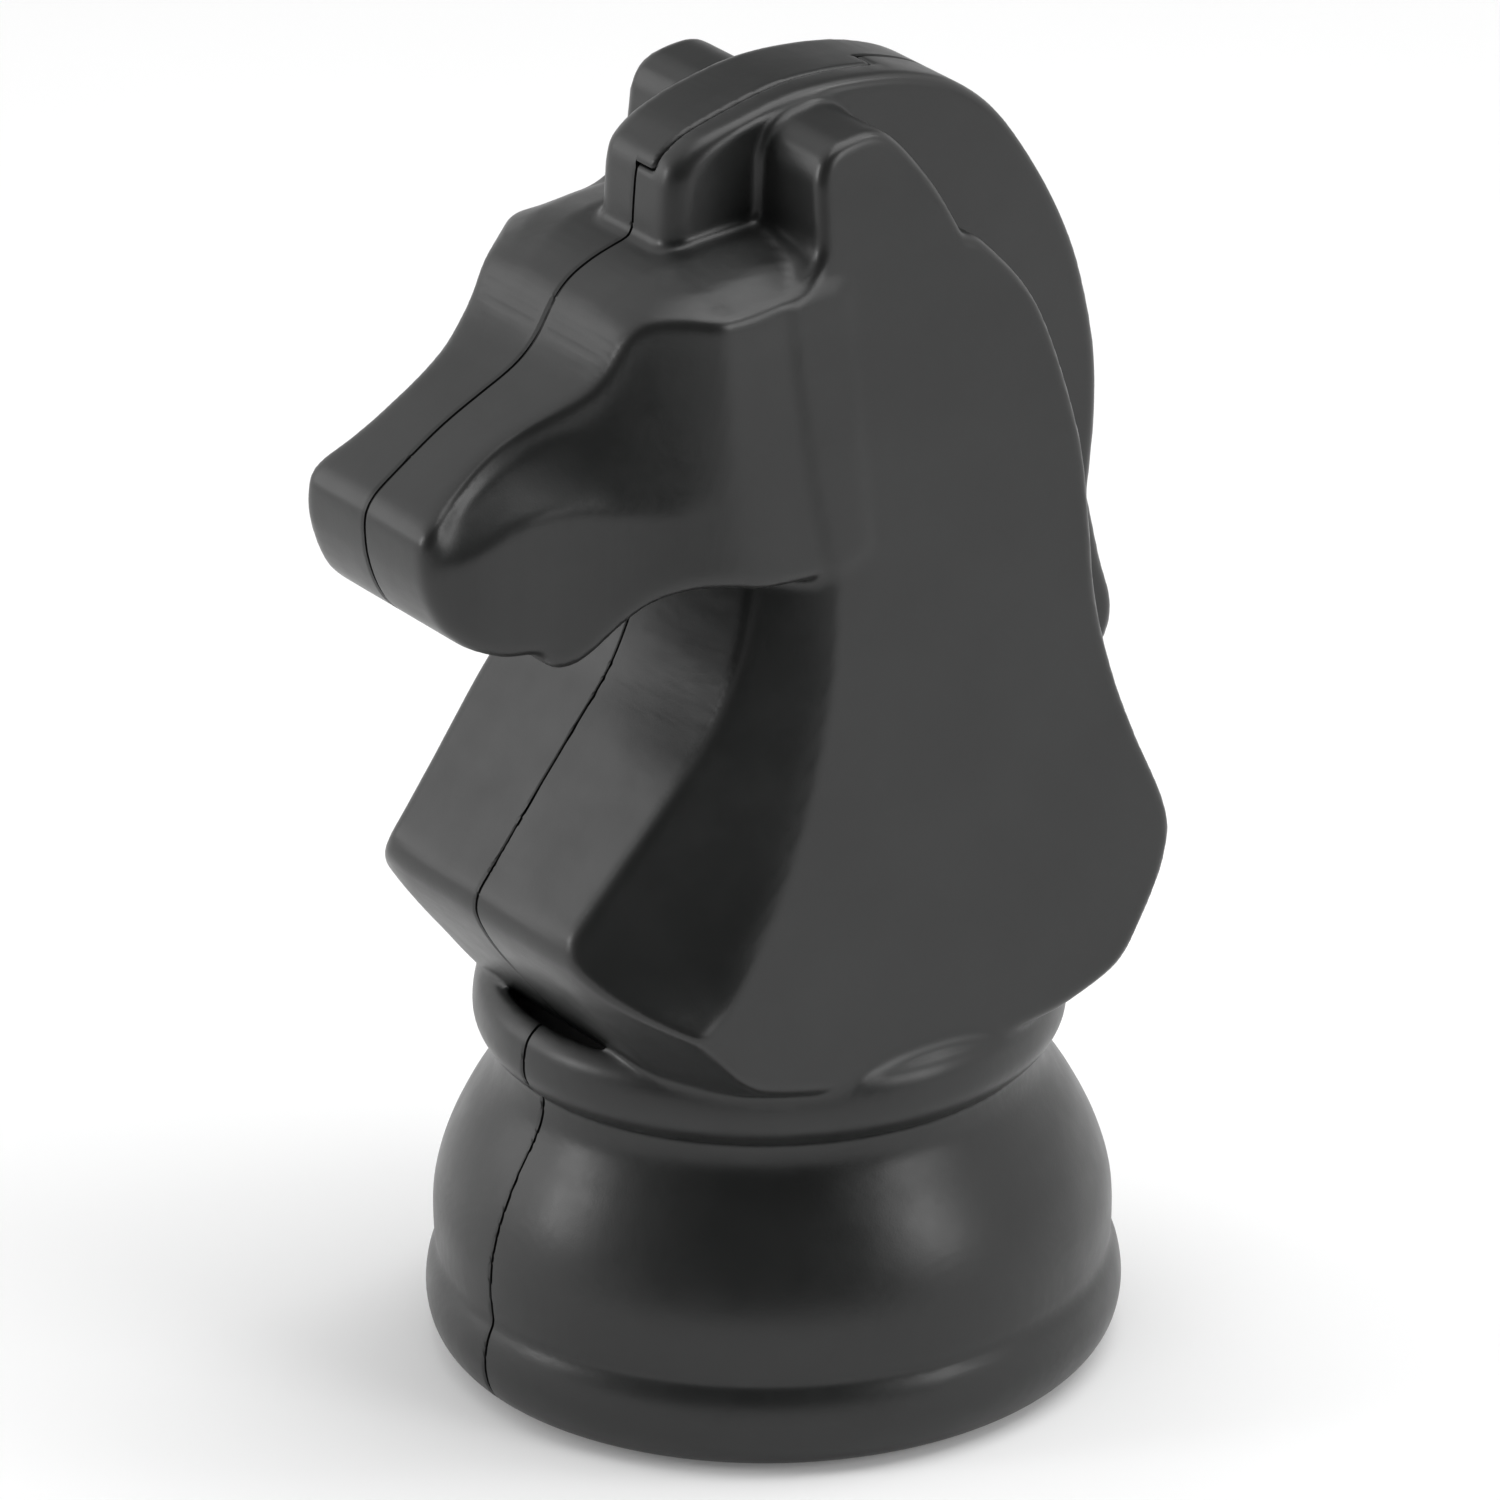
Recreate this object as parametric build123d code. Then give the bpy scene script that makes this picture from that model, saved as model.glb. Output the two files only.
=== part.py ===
"""Giant lawn chess knight: two moulded shell halves on a screwed-on base plate.

Frame: +Z up, the knight faces -Y, its left flank is +X. The origin is on the base's
resting plane, on the axis of the round base. All lengths are millimetres.
"""

from build123d import *
import os

# Round base, as radius and height: flange, bulge and collar, which meet at creases.
FLANGE = [
    (103.0, 0.0), (108.5, 2.6), (112.6, 8.0), (114.3, 15.5), (113.8, 22.5), (112.5, 27.3), (110.4, 31.2)
]
BULGE = [
    (110.4, 31.2), (111.2, 38.0), (110.8, 52.0), (107.0, 66.0), (100.4, 80.0), (93.4, 91.5), (90.0, 99.0),
    (89.0, 107.0)
]
COLLAR = [(89.0, 107.0), (93.0, 109.6), (96.2, 115.0), (96.6, 121.0), (94.8, 128.5), (89.0, 133.5)]
COLLAR_Z = 134.0

# Neck and mane.
PLATE_HALF = 90.0  # half-width of the flat flanks at PLATE_Z
PLATE_Z = 131.0
PLATE_TAPER = 0.125  # how much narrower each flank gets per unit of height
MANE_HALF = 21.0
SKIRT_R = 103.0  # the cone that trims the foot of the neck, at SKIRT_Z
SKIRT_Z = 131.0
SKIRT_FLARE = 1.8

# Shells and the parting seam between them.
WALL = 4.0
SEAM_GAP = 1.2
SEAM_RECESS = 1.6
LIP_DEPTH = 9.0
LIP_HALF = 5.0

# Tongue of the right shell that laps over the crown, and the landing below it.
TONGUE_REACH = 9.0
TONGUE_LOW = 419.0
TONGUE_BACK = -38.0
TONGUE_PLAY = 0.25
LANDING_HALF = 13.0
LANDING_LOW = 407.0
LANDING_BACK = -44.0

# Base plate, its gasket and the ledge that it screws up against.
COVER_R = 98.0
COVER_THICK = 5.0
COVER_PLAY = 0.4
GASKET_THICK = 1.5
LEDGE_Z = COVER_THICK + GASKET_THICK
LEDGE_THICK = 6.0
LEDGE_BORE = 84.0
LEDGE_R = 111.0
SCREW_COUNT = 8
SCREW_PITCH_R = 91.0
SCREW_SHANK_R = 2.0
SCREW_HEAD_R = 4.0
SCREW_TIP_Z = 18.5
SCREW_BOSS_R = 6.0

# Filler port with its screw plug, off the middle of the base plate.
PORT_AT = (0.0, 46.0)
PORT_R = 19.0
PORT_BOSS_R = 30.0
PORT_BOSS_TOP = 24.0
PORT_SEAT_R = 25.0
PORT_SEAT_Z = 6.0
PLUG_PLAY = 0.4
PLUG_FACE_Z = 1.5
PLUG_FLANGE_THICK = 3.3
PLUG_WALL = 3.0
SEAL_THICK = 1.1

# Bolts that pull the halves together inside the base, and dowels that align the rest.
TIE_AT = [(96.0, 42.0), (91.0, 70.0), (-96.0, 42.0), (-91.0, 70.0)]
TIE_R = 2.5
TIE_HEAD_R = 4.6
TIE_HEAD_THICK = 4.0
TIE_BOSS_R = 9.0
TIE_BOSS_HALF = 14.0
DOWEL_AT = [(97.0, 184.0), (134.0, 318.0), (-10.0, 424.0), (-101.0, 338.0)]
DOWEL_R = 4.0
DOWEL_HALF = 11.0
DOWEL_BOSS_R = 8.0
DOWEL_BOSS_HALF = 14.0
HOLE_PLAY = 0.15

# Flank outline as forward distance and height, from the chest round the head to the hip.
FLANK_FRONT = [(88.2, 159.3), (75.9, 167.3), (49.5, 203.8), (29.0, 254.1), (21.4, 294.7)]
FLANK_CHEEK = [(50.0, 297.5), (54.0, 345.0), (55.0, 384.0)]
FLANK_BROW = [(36.2, 385.5), (28.4, 387.6), (21.2, 391.2), (15.6, 397.0), (14.2, 403.0)]
EAR = [(13.2, 421.0), (9.6, 428.6), (0.5, 432.4), (-13.9, 431.2), (-29.4, 412.6), (-40.0, 392.4)]
NAPE = [
    (-40.0, 392.4), (-48.5, 387.4), (-66.4, 362.8), (-77.9, 320.0), (-79.4, 290.0), (-79.6, 262.0),
    (-84.4, 235.0), (-91.4, 212.5)
]
HIP = [
    (-91.4, 212.5), (-99.0, 192.5), (-100.8, 181.0), (-98.3, 171.5), (-93.2, 161.5), (-80.6, 144.0),
    (-70.5, 135.8), (-52.0, 129.0)
]
FLANK_FOOT = [(-52.0, 112.0), (48.1, 112.0)]

# Mane outline, from the forelock over the crown to the lock on the nape.
FORELOCK_FRONT = [(48.8, 388.0), (48.2, 402.0), (47.0, 415.0)]
MANE_CROWN = [
    (47.0, 415.0), (45.0, 421.8), (39.8, 426.8), (30.0, 431.0), (5.0, 437.0), (-12.0, 438.5),
    (-31.5, 437.0), (-48.0, 433.6), (-64.4, 426.5), (-80.6, 412.4)
]
MANE_NAPE = [
    (-80.6, 412.4), (-96.8, 387.7), (-108.2, 363.6), (-114.6, 341.0), (-118.0, 319.0), (-117.8, 298.0),
    (-114.8, 272.0)
]
MANE_LOCK = [(-114.8, 272.0), (-119.8, 249.0), (-124.6, 230.0), (-119.0, 216.0), (-104.0, 205.0)]
MANE_ROOT = [(-60.0, 205.0), (-10.0, 300.0), (20.0, 380.0)]

# Chest above and below its ridge: height, forward distance on the centre line, half-width
# of the front face, how far that face's edge sits back, forward distance of the flank's edge.
CHEST_UPPER = [
    (116.0, 170.4, 52.0, 0.0, 156.0),
    (159.3, 134.8, 52.0, 0.0, 88.2),
    (167.3, 128.2, 52.0, 0.0, 75.9),
    (187.8, 111.2, 52.0, 0.0, 60.0),
    (204.0, 97.8, 53.7, 0.6, 49.5),
    (231.0, 75.6, 56.8, 1.4, 36.7),
    (250.0, 60.5, 57.0, 2.0, 30.2),
    (267.0, 51.7, 56.0, 3.0, 25.3),
    (296.0, 42.0, 50.0, 4.0, 21.3),
]
CHEST_LOWER = [
    (116.0, 66.0, 52.0, 0.0, 45.0),
    (134.0, 82.6, 52.0, 0.0, 63.0),
    (151.0, 95.4, 52.0, 0.0, 80.0),
    (168.9, 108.7, 52.0, 0.0, 97.8),
    (177.4, 113.4, 52.0, 0.0, 106.2),
    (186.0, 113.0, 52.0, 0.0, 112.0),
    (296.0, 118.0, 52.0, 0.0, 117.0),
]

# Head sections: forward distance, bridge height, how much lower its edge is, half-width of
# the bridge, height of its foot, then height and half-width of the shoulder and the jaw.
HEAD = [
    (5.0, 399.5, 12.0, 56.8, 372.0, 340.0, 62.6, 297.0, 67.8),
    (30.0, 398.4, 11.2, 57.2, 372.0, 340.0, 62.6, 297.0, 67.8),
    (46.0, 396.8, 11.2, 57.4, 372.0, 336.0, 62.8, 297.0, 67.6),
    (56.0, 394.4, 8.4, 57.0, 376.0, 332.0, 62.6, 297.0, 66.4),
    (66.0, 390.9, 4.6, 48.7, 380.0, 328.0, 60.0, 297.0, 63.2),
    (73.0, 387.0, 2.0, 43.0, 379.0, 326.0, 57.2, 297.0, 60.0),
    (79.0, 381.0, 1.0, 41.0, 371.0, 326.0, 54.8, 295.0, 56.8),
    (84.0, 372.6, 0.8, 39.6, 363.0, 327.0, 52.8, 292.0, 54.0),
    (90.0, 366.0, 0.7, 37.6, 356.0, 328.0, 50.6, 288.0, 51.0),
    (104.0, 358.0, 0.5, 31.4, 349.5, 331.0, 46.2, 282.0, 46.8),
    (122.0, 349.0, 0.4, 28.4, 341.5, 329.0, 42.8, 284.0, 43.2),
    (135.0, 340.8, 0.4, 30.0, 334.6, 323.0, 40.4, 289.0, 40.4),
    (147.0, 332.8, 0.4, 33.8, 328.4, 318.0, 36.8, 300.0, 35.8),
    (160.0, 324.0, 0.4, 34.5, 320.5, 312.0, 34.5, 306.0, 33.2),
]
JAW_DEPTH = 14.0
NOSE_TIP = 151.4

# Side view that trims the head: over the top, down the nose and back along the jaw.
HEAD_TOP = [(5.0, 412.0), (60.0, 406.0), (84.0, 392.0), (135.0, 353.0)]
NOSE = [(135.0, 353.0), (147.0, 340.0), (150.6, 331.0), (NOSE_TIP, 323.0), (150.9, 314.0), (149.3, 307.5)]
CHIN = [(149.3, 307.5), (147.2, 302.0), (143.6, 295.5), (137.2, 289.3), (126.0, 284.4), (116.0, 283.4)]
JAW = [
    (116.0, 283.4), (112.5, 281.6), (109.5, 277.4), (103.0, 277.0), (96.0, 281.0), (85.0, 291.0),
    (77.0, 296.5), (66.0, 299.0), (46.0, 296.0), (5.0, 295.0)
]


def flank_half(height):
    """Half-width of the neck's flat flanks at a height."""
    return PLATE_HALF - (height - PLATE_Z) * PLATE_TAPER


def to_side(points):
    """Points on the symmetry plane from (forward, height) pairs."""
    return [Vector(0, -forward, height) for forward, height in points]


def smooth(points):
    return Spline(*to_side(points))


def straight(points):
    return Polyline(*to_side(points))


def across(face, half):
    """The face widened by half on both sides of the symmetry plane."""
    return extrude(face, amount=half, dir=(1, 0, 0), both=True)


def wedge(inset):
    """The space between the two sloping flanks."""
    low, high = 60.0, 480.0
    corners = [
        (-flank_half(low) + inset, low),
        (flank_half(low) - inset, low),
        (flank_half(high) - inset, high),
        (-flank_half(high) + inset, high),
    ]
    outline = Polyline(*[(x, 0, z) for x, z in corners], close=True)
    return extrude(make_face(outline), amount=200, dir=(0, 1, 0), both=True)


def inset_polygon(points, inset):
    """The polygon's corners moved inwards, so that each edge moves by inset."""
    corners = [Vector(*point) for point in points]
    turn = sum(a.X * b.Y - b.X * a.Y for a, b in zip(corners, corners[1:] + corners[:1]))
    side = 1.0 if turn > 0 else -1.0
    moved = []
    for before, here, after in zip(corners[-1:] + corners[:-1], corners, corners[1:] + corners[:1]):
        first = (here - before).normalized()
        second = (after - here).normalized()
        inward = Vector(-first.Y - second.Y, first.X + second.X) * side
        reach = inset / (1.0 + first.dot(second))
        moved.append((here.X + inward.X * reach, here.Y + inward.Y * reach))
    return moved


def inner_face(points, inset):
    moved = inset_polygon(points, inset)
    return make_face(straight([*moved, moved[0]]))


def neck(inset):
    """The slab between the flanks, with the cheeks and both ears."""
    if inset:
        face_front = [*FLANK_FRONT, *FLANK_CHEEK, *FLANK_BROW]
        outline = [*face_front, *EAR, *NAPE[1:], *HIP[1:], *FLANK_FOOT]
        return across(inner_face(outline, inset), PLATE_HALF) & wedge(inset)
    edges = [
        smooth(FLANK_FRONT),
        straight([FLANK_FRONT[-1], *FLANK_CHEEK, FLANK_BROW[0]]),
        smooth(FLANK_BROW),
        straight([FLANK_BROW[-1], EAR[0]]),
        smooth(EAR),
        smooth(NAPE),
        smooth(HIP),
        straight([HIP[-1], *FLANK_FOOT, FLANK_FRONT[0]]),
    ]
    return across(make_face(edges), PLATE_HALF + 10) & wedge(0.0)


def mane(inset):
    """The raised strip from the forelock over the crown and down the nape."""
    if inset:
        outline = [*FORELOCK_FRONT, *MANE_CROWN[2:], *MANE_NAPE[1:], *MANE_LOCK[1:], *MANE_ROOT]
        return across(inner_face(outline, inset), MANE_HALF - inset)
    edges = [
        straight(FORELOCK_FRONT),
        smooth([*MANE_CROWN, *MANE_NAPE[1:]]),
        smooth(MANE_LOCK),
        straight([MANE_LOCK[-1], *MANE_ROOT, FORELOCK_FRONT[0]]),
    ]
    return across(make_face(edges), MANE_HALF)


def chest_section(level, inset):
    height, centre, half, set_back, edge = level
    side = flank_half(height) - inset
    front = [
        (0.0, centre - inset),
        (half - inset, centre - set_back - inset),
        (side, edge - inset),
        (side, -10.0),
    ]
    left = [(x, -forward) for x, forward in front]
    right = [(-x, y) for x, y in reversed(left[1:])]
    return make_face(Polyline(*[(x, y, height) for x, y in left + right], close=True))


def chest(inset):
    """The chest between the flanks' front edges, from the collar up to the throat."""
    above = loft([chest_section(level, inset) for level in CHEST_UPPER], ruled=True)
    below = loft([chest_section(level, inset) for level in CHEST_LOWER], ruled=True)
    return above & below


def head_section(station, inset, place):
    _, bridge, drop, bridge_half, foot, shoulder, shoulder_half, jaw, jaw_half = station
    floor = jaw + inset if inset else jaw - JAW_DEPTH
    side = [
        (0.0, bridge - inset),
        (bridge_half - inset, bridge - drop - inset),
        (bridge_half + 0.8 - inset, foot - inset),
        (shoulder_half - inset, shoulder - inset),
        (jaw_half - inset, jaw + inset + 1.0),
        (jaw_half - inset - 2.0, floor),
        (0.0, floor),
    ]
    mirrored = [(-x, z) for x, z in reversed(side[1:-1])]
    return make_face(Polyline(*[(x, -place, z) for x, z in side + mirrored], close=True))


def head(inset):
    """Forehead, bridge and muzzle, from between the ears to the nose."""
    if inset:
        stations = HEAD[1:-1]
        places = [s[0] for s in stations[:-1]] + [stations[-1][0] - inset]
        return loft([head_section(s, inset, p) for s, p in zip(stations, places)], ruled=True)
    block = loft([head_section(s, 0.0, s[0]) for s in HEAD], ruled=True)
    edges = [straight(HEAD_TOP), smooth(NOSE), straight(CHIN), straight(JAW), straight([JAW[-1], HEAD_TOP[0]])]
    return block & across(make_face(edges), PLATE_HALF)


def skirt(inset):
    """A flaring cone that rounds the neck's foot off just above the collar."""
    low = FLANK_FOOT[0][1] - 1.0
    height = 330.0
    low_r = SKIRT_R + (low - SKIRT_Z) * SKIRT_FLARE - inset
    cone = Cone(low_r, low_r + height * SKIRT_FLARE, height, align=(Align.CENTER, Align.CENTER, Align.MIN))
    return Pos(0, 0, low) * cone


def base(inset):
    """The round base, solid between its resting plane and the top of its collar."""
    top = COLLAR_Z - inset

    def curve(points):
        return Spline(*[Vector(r - inset, 0, min(max(z, inset), top)) for r, z in points])

    profile = [curve(FLANGE), curve(BULGE), curve(COLLAR)]
    rim = Polyline(profile[2] @ 1, (0, 0, top), (0, 0, inset), profile[0] @ 0)
    return revolve(make_face([*profile, rim]), Axis.Z)


def figure(inset=0.0):
    """The whole closed outer form, or the same form set in by inset."""
    upper = (neck(inset) + chest(inset)) & skirt(inset)
    return base(inset) + upper + head(inset) + mane(inset)


def slab_between(low, high):
    """A block that holds everything between two x values."""
    return Pos((low + high) / 2, 0, 220) * Box(high - low, 400, 480)


def ring(outer, bore, low, high):
    """A flat ring about the base axis between two heights."""
    disc = Cylinder(outer, high - low, align=(Align.CENTER, Align.CENTER, Align.MIN))
    hole = Cylinder(bore, high - low, align=(Align.CENTER, Align.CENTER, Align.MIN))
    return Pos(0, 0, low) * (disc - hole)


def upright(radius, low, high):
    """A rod along Z between two heights."""
    return Pos(0, 0, low) * Cylinder(radius, high - low, align=(Align.CENTER, Align.CENTER, Align.MIN))


def crosswise(radius, left, right, place):
    """A rod along X between two x values, at a (forward, height) place."""
    rod = Cylinder(radius, right - left, rotation=(0, 90, 0))
    return Pos((left + right) / 2, -place[0], place[1]) * rod


def around_base(shape):
    """Copies of a shape at every base screw, clear of the parting seam."""
    step = 360.0 / SCREW_COUNT
    angles = [step * (index + 0.5) for index in range(SCREW_COUNT)]
    return [Rot(0, 0, angle) * Pos(SCREW_PITCH_R, 0, 0) * shape for angle in angles]


def fuse_all(shapes):
    total = shapes[0]
    for shape in shapes[1:]:
        total = total + shape
    return total


def hollow(inset):
    """The space inside the shells, open at the foot for the base plate."""
    mouth = upright(COVER_R + COVER_PLAY, 0.0, LEDGE_Z) + upright(LEDGE_BORE, 0.0, 2 * LEDGE_Z)
    return figure(inset) + mouth


def screw_bosses():
    post = upright(SCREW_BOSS_R, LEDGE_Z, SCREW_TIP_Z + 4.0)
    return fuse_all(around_base(post))


def block(half, forward, low):
    """Everything nearer the crown than a half-width, a forward distance and a height."""
    front, top = 60.0, 450.0
    middle = Pos((half[0] + half[1]) / 2, -(forward + front) / 2, (low + top) / 2)
    return middle * Box(half[1] - half[0], front - forward, top - low)


def tongue(outer, play):
    """The skin of the crown that the right shell's tongue takes up."""
    skin = outer - figure(WALL + play)
    return skin & block((-SEAM_GAP / 2 - play, TONGUE_REACH + play), TONGUE_BACK - play, TONGUE_LOW - play)


def shell_body(outer):
    """Both shell halves as one wall, before they are parted."""
    mouth = upright(COVER_R + COVER_PLAY, 0.0, LEDGE_Z)
    landing = block((-LANDING_HALF, LANDING_HALF), LANDING_BACK, LANDING_LOW)
    lip = (outer - figure(LIP_DEPTH)) & (slab_between(-LIP_HALF, LIP_HALF) + landing)
    ledge = ring(LEDGE_R, LEDGE_BORE, LEDGE_Z, LEDGE_Z + LEDGE_THICK) & outer
    bosses = [crosswise(TIE_BOSS_R, -TIE_BOSS_HALF, TIE_BOSS_HALF, at) for at in TIE_AT]
    bosses += [crosswise(DOWEL_BOSS_R, -DOWEL_BOSS_HALF, DOWEL_BOSS_HALF, at) for at in DOWEL_AT]
    inside = lip + fuse_all([*bosses, screw_bosses()]) + ledge
    mouth = mouth + upright(LEDGE_BORE, 0.0, LEDGE_Z + LEDGE_THICK)
    body = (outer - hollow(WALL)) + ((inside & outer) - mouth)
    for at in TIE_AT:
        body = body - crosswise(TIE_R + HOLE_PLAY, -30, 30, at)
    for at in DOWEL_AT:
        body = body - crosswise(DOWEL_R + HOLE_PLAY, -DOWEL_HALF - 0.5, DOWEL_HALF + 0.5, at)
    pilot = upright(SCREW_SHANK_R, 0.0, SCREW_TIP_Z + 1.0)
    return body - fuse_all(around_base(pilot))


def seam_gasket(rebate):
    """The soft strip clamped between the lips of the two halves."""
    strip = figure(SEAM_RECESS) - hollow(LIP_DEPTH - 1.0)
    strip = strip - upright(COVER_R + COVER_PLAY, 0.0, LEDGE_Z)
    strip = (strip & slab_between(-SEAM_GAP / 2, SEAM_GAP / 2)) - rebate
    for at in TIE_AT:
        strip = strip - crosswise(TIE_R + HOLE_PLAY, -30, 30, at)
    for at in DOWEL_AT:
        strip = strip - crosswise(DOWEL_R + HOLE_PLAY, -30, 30, at)
    return strip


def tie_bolts():
    bolts = []
    for at in TIE_AT:
        shank = crosswise(TIE_R, -TIE_BOSS_HALF - 6.0, TIE_BOSS_HALF, at)
        head = crosswise(TIE_HEAD_R, TIE_BOSS_HALF, TIE_BOSS_HALF + TIE_HEAD_THICK, at)
        socket = crosswise(2.0, TIE_BOSS_HALF + 1.5, TIE_BOSS_HALF + TIE_HEAD_THICK, at)
        bolts.append(shank + head - socket)
    return bolts


def tie_nuts():
    nuts = []
    for at in TIE_AT:
        block = extrude(RegularPolygon(TIE_HEAD_R, 6), TIE_HEAD_THICK)
        block = block - upright(TIE_R, 0.0, TIE_HEAD_THICK)
        place = Pos(-TIE_BOSS_HALF - TIE_HEAD_THICK, -at[0], at[1])
        nuts.append(place * Rot(0, 90, 0) * block)
    return nuts


def dowels():
    return [crosswise(DOWEL_R, -DOWEL_HALF, DOWEL_HALF, at) for at in DOWEL_AT]


def base_plate():
    """The closing disc, with its stiffening rim, screw holes and threaded filler boss."""
    disc = upright(COVER_R, 0.0, COVER_THICK)
    at_port = Pos(PORT_AT[0], PORT_AT[1], 0)
    disc = disc + at_port * upright(PORT_BOSS_R, COVER_THICK, PORT_BOSS_TOP)
    disc = disc + ring(LEDGE_BORE - 2.0, LEDGE_BORE - 5.0, COVER_THICK, COVER_THICK + 7.0)
    disc = disc - at_port * upright(PORT_R, 0.0, PORT_BOSS_TOP)
    disc = disc - at_port * upright(PORT_SEAT_R, 0.0, PORT_SEAT_Z)
    hole = upright(SCREW_SHANK_R + HOLE_PLAY, 0.0, COVER_THICK)
    sink = Cone(SCREW_HEAD_R + 0.4, SCREW_SHANK_R + 0.2, 2.4, align=(Align.CENTER, Align.CENTER, Align.MIN))
    return disc - fuse_all(around_base(hole + sink))


def base_gasket():
    flat = ring(COVER_R - 0.5, LEDGE_BORE, COVER_THICK, LEDGE_Z)
    return flat - fuse_all(around_base(upright(SCREW_SHANK_R + HOLE_PLAY, 0.0, LEDGE_Z)))


def base_screws():
    head = Cone(SCREW_HEAD_R, SCREW_SHANK_R, 2.0, align=(Align.CENTER, Align.CENTER, Align.MIN))
    screw = Pos(0, 0, 0.3) * head + upright(SCREW_SHANK_R, 2.3, SCREW_TIP_Z)
    slot = Pos(0, 0, 0.3) * Box(5.0, 1.0, 1.6)
    return around_base(screw - slot)


def filler_plug():
    """The screw plug of the filler port, a hollow cup with a grip bar across its face."""
    radius = PORT_R - PLUG_PLAY
    flange_top = PLUG_FACE_Z + PLUG_FLANGE_THICK
    flange = upright(PORT_SEAT_R - PLUG_PLAY, PLUG_FACE_Z, flange_top)
    stem = upright(radius, flange_top, PORT_BOSS_TOP - 2.0)
    well = upright(radius - PLUG_WALL, PLUG_FACE_Z, PORT_BOSS_TOP - 2.0 - PLUG_WALL)
    bar = Pos(0, 0, PLUG_FACE_Z + 7.0) * Box(2 * radius - 4.0, 5.0, 14.0)
    plug = flange + stem - well
    return Pos(PORT_AT[0], PORT_AT[1], 0) * (plug + bar)


def filler_seal():
    low = PLUG_FACE_Z + PLUG_FLANGE_THICK
    loop = ring(PORT_SEAT_R - 1.0, PORT_R + 0.2, low + 0.05, low + SEAL_THICK)
    return Pos(PORT_AT[0], PORT_AT[1], 0) * loop


def solids_of(shapes):
    """The separate solids of one shape or of a list of shapes."""
    group = shapes if isinstance(shapes, list) else [shapes]
    return [solid for shape in group for solid in shape.solids()]


def write_part(name, shapes):
    solids = solids_of(shapes)
    body = solids[0] if len(solids) == 1 else Compound(children=solids)
    export_step(body, f"parts/{name}.step")


def main():
    os.makedirs("parts", exist_ok=True)
    outer = figure()
    body = shell_body(outer)
    rebate = tongue(outer, TONGUE_PLAY)
    write_part("left_shell", (body & slab_between(SEAM_GAP / 2, 200)) - rebate)
    write_part("right_shell", (body & slab_between(-200, -SEAM_GAP / 2)) + tongue(outer, 0.0))
    write_part("seam_gasket", seam_gasket(rebate))
    write_part("tie_bolts", tie_bolts())
    write_part("tie_nuts", tie_nuts())
    write_part("dowel_pins", dowels())
    write_part("base_plate", base_plate())
    write_part("base_gasket", base_gasket())
    write_part("base_screws", base_screws())
    write_part("filler_plug", filler_plug())
    write_part("filler_seal", filler_seal())


if __name__ == "__main__":
    main()
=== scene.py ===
"""Looks of the giant chess knight: two moulded shells, their seam strip and the base fittings.

The shells are sculpted as a signed distance field on a grid, in millimetres, and meshed from
it, so that every edge carries the soft rounding of blow-moulded plastic. Places on the
symmetry plane are (forward, height) pairs, and forward is -Y in the row frame.
"""

import math

import bmesh
import bpy
import numpy as np
import openvdb
from mathutils import Matrix, Vector


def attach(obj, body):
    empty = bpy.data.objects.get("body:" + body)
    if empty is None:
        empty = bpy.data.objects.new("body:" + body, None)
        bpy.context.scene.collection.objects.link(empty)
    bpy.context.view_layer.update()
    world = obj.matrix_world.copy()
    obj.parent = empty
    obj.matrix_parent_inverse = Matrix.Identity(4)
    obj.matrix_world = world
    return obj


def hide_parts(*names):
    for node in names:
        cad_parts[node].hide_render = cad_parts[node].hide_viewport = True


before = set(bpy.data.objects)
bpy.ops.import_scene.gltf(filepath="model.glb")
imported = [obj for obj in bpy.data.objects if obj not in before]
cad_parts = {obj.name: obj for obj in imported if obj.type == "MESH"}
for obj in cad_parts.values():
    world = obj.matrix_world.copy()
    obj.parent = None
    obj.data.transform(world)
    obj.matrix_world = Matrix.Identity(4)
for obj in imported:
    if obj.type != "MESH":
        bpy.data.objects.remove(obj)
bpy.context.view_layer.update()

MM = 0.001
VOXEL = 1.5

# Round base, as radius and height.
BASE_OUTLINE = [
    [(0.0, 0.0), (103.0, 0.0)],
    [(103.0, 0.0), (108.5, 2.6), (112.6, 8.0), (114.3, 15.5), (113.8, 22.5), (112.5, 27.3),
     (110.4, 31.2)],
    [(110.4, 31.2), (111.2, 38.0), (110.8, 52.0), (107.0, 66.0), (100.4, 80.0), (93.4, 91.5),
     (90.0, 99.0), (89.0, 107.0)],
    [(89.0, 107.0), (93.0, 109.6), (96.2, 115.0), (96.6, 121.0), (94.8, 128.5), (89.0, 133.5)],
    [(89.0, 133.5), (0.0, 134.0)],
]

# Steps of the table that holds the base's section, out to past the grid's corners.
BASE_STEP = 0.5
BASE_REACH = 220.0

# Flat flanks, which lean in towards the crown.
PLATE_HALF = 90.0
PLATE_Z = 131.0
PLATE_TAPER = 0.125
FLANK_OUTLINE = [
    [(60.0, 126.0), (88.2, 159.3)],
    [(88.2, 159.3), (75.9, 167.3), (49.5, 203.8), (29.0, 254.1), (21.4, 294.7)],
    [(21.4, 294.7), (26.0, 330.0), (29.0, 385.0)],
    [(29.0, 385.0), (21.2, 391.2), (15.6, 397.0), (14.2, 403.0)],
    [(14.2, 403.0), (13.2, 421.0)],
    [(13.2, 421.0), (9.6, 428.6), (0.5, 432.4), (-13.9, 431.2), (-29.4, 412.6), (-40.0, 392.4)],
    [(-40.0, 392.4), (-48.5, 387.4), (-66.4, 362.8), (-77.9, 320.0), (-79.4, 290.0), (-79.6, 262.0),
     (-84.4, 235.0), (-91.4, 212.5)],
    [(-91.4, 212.5), (-99.0, 192.5), (-100.8, 181.0), (-98.3, 171.5), (-93.2, 161.5),
     (-80.6, 144.0), (-70.5, 135.8), (-52.0, 129.0)],
]

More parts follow.
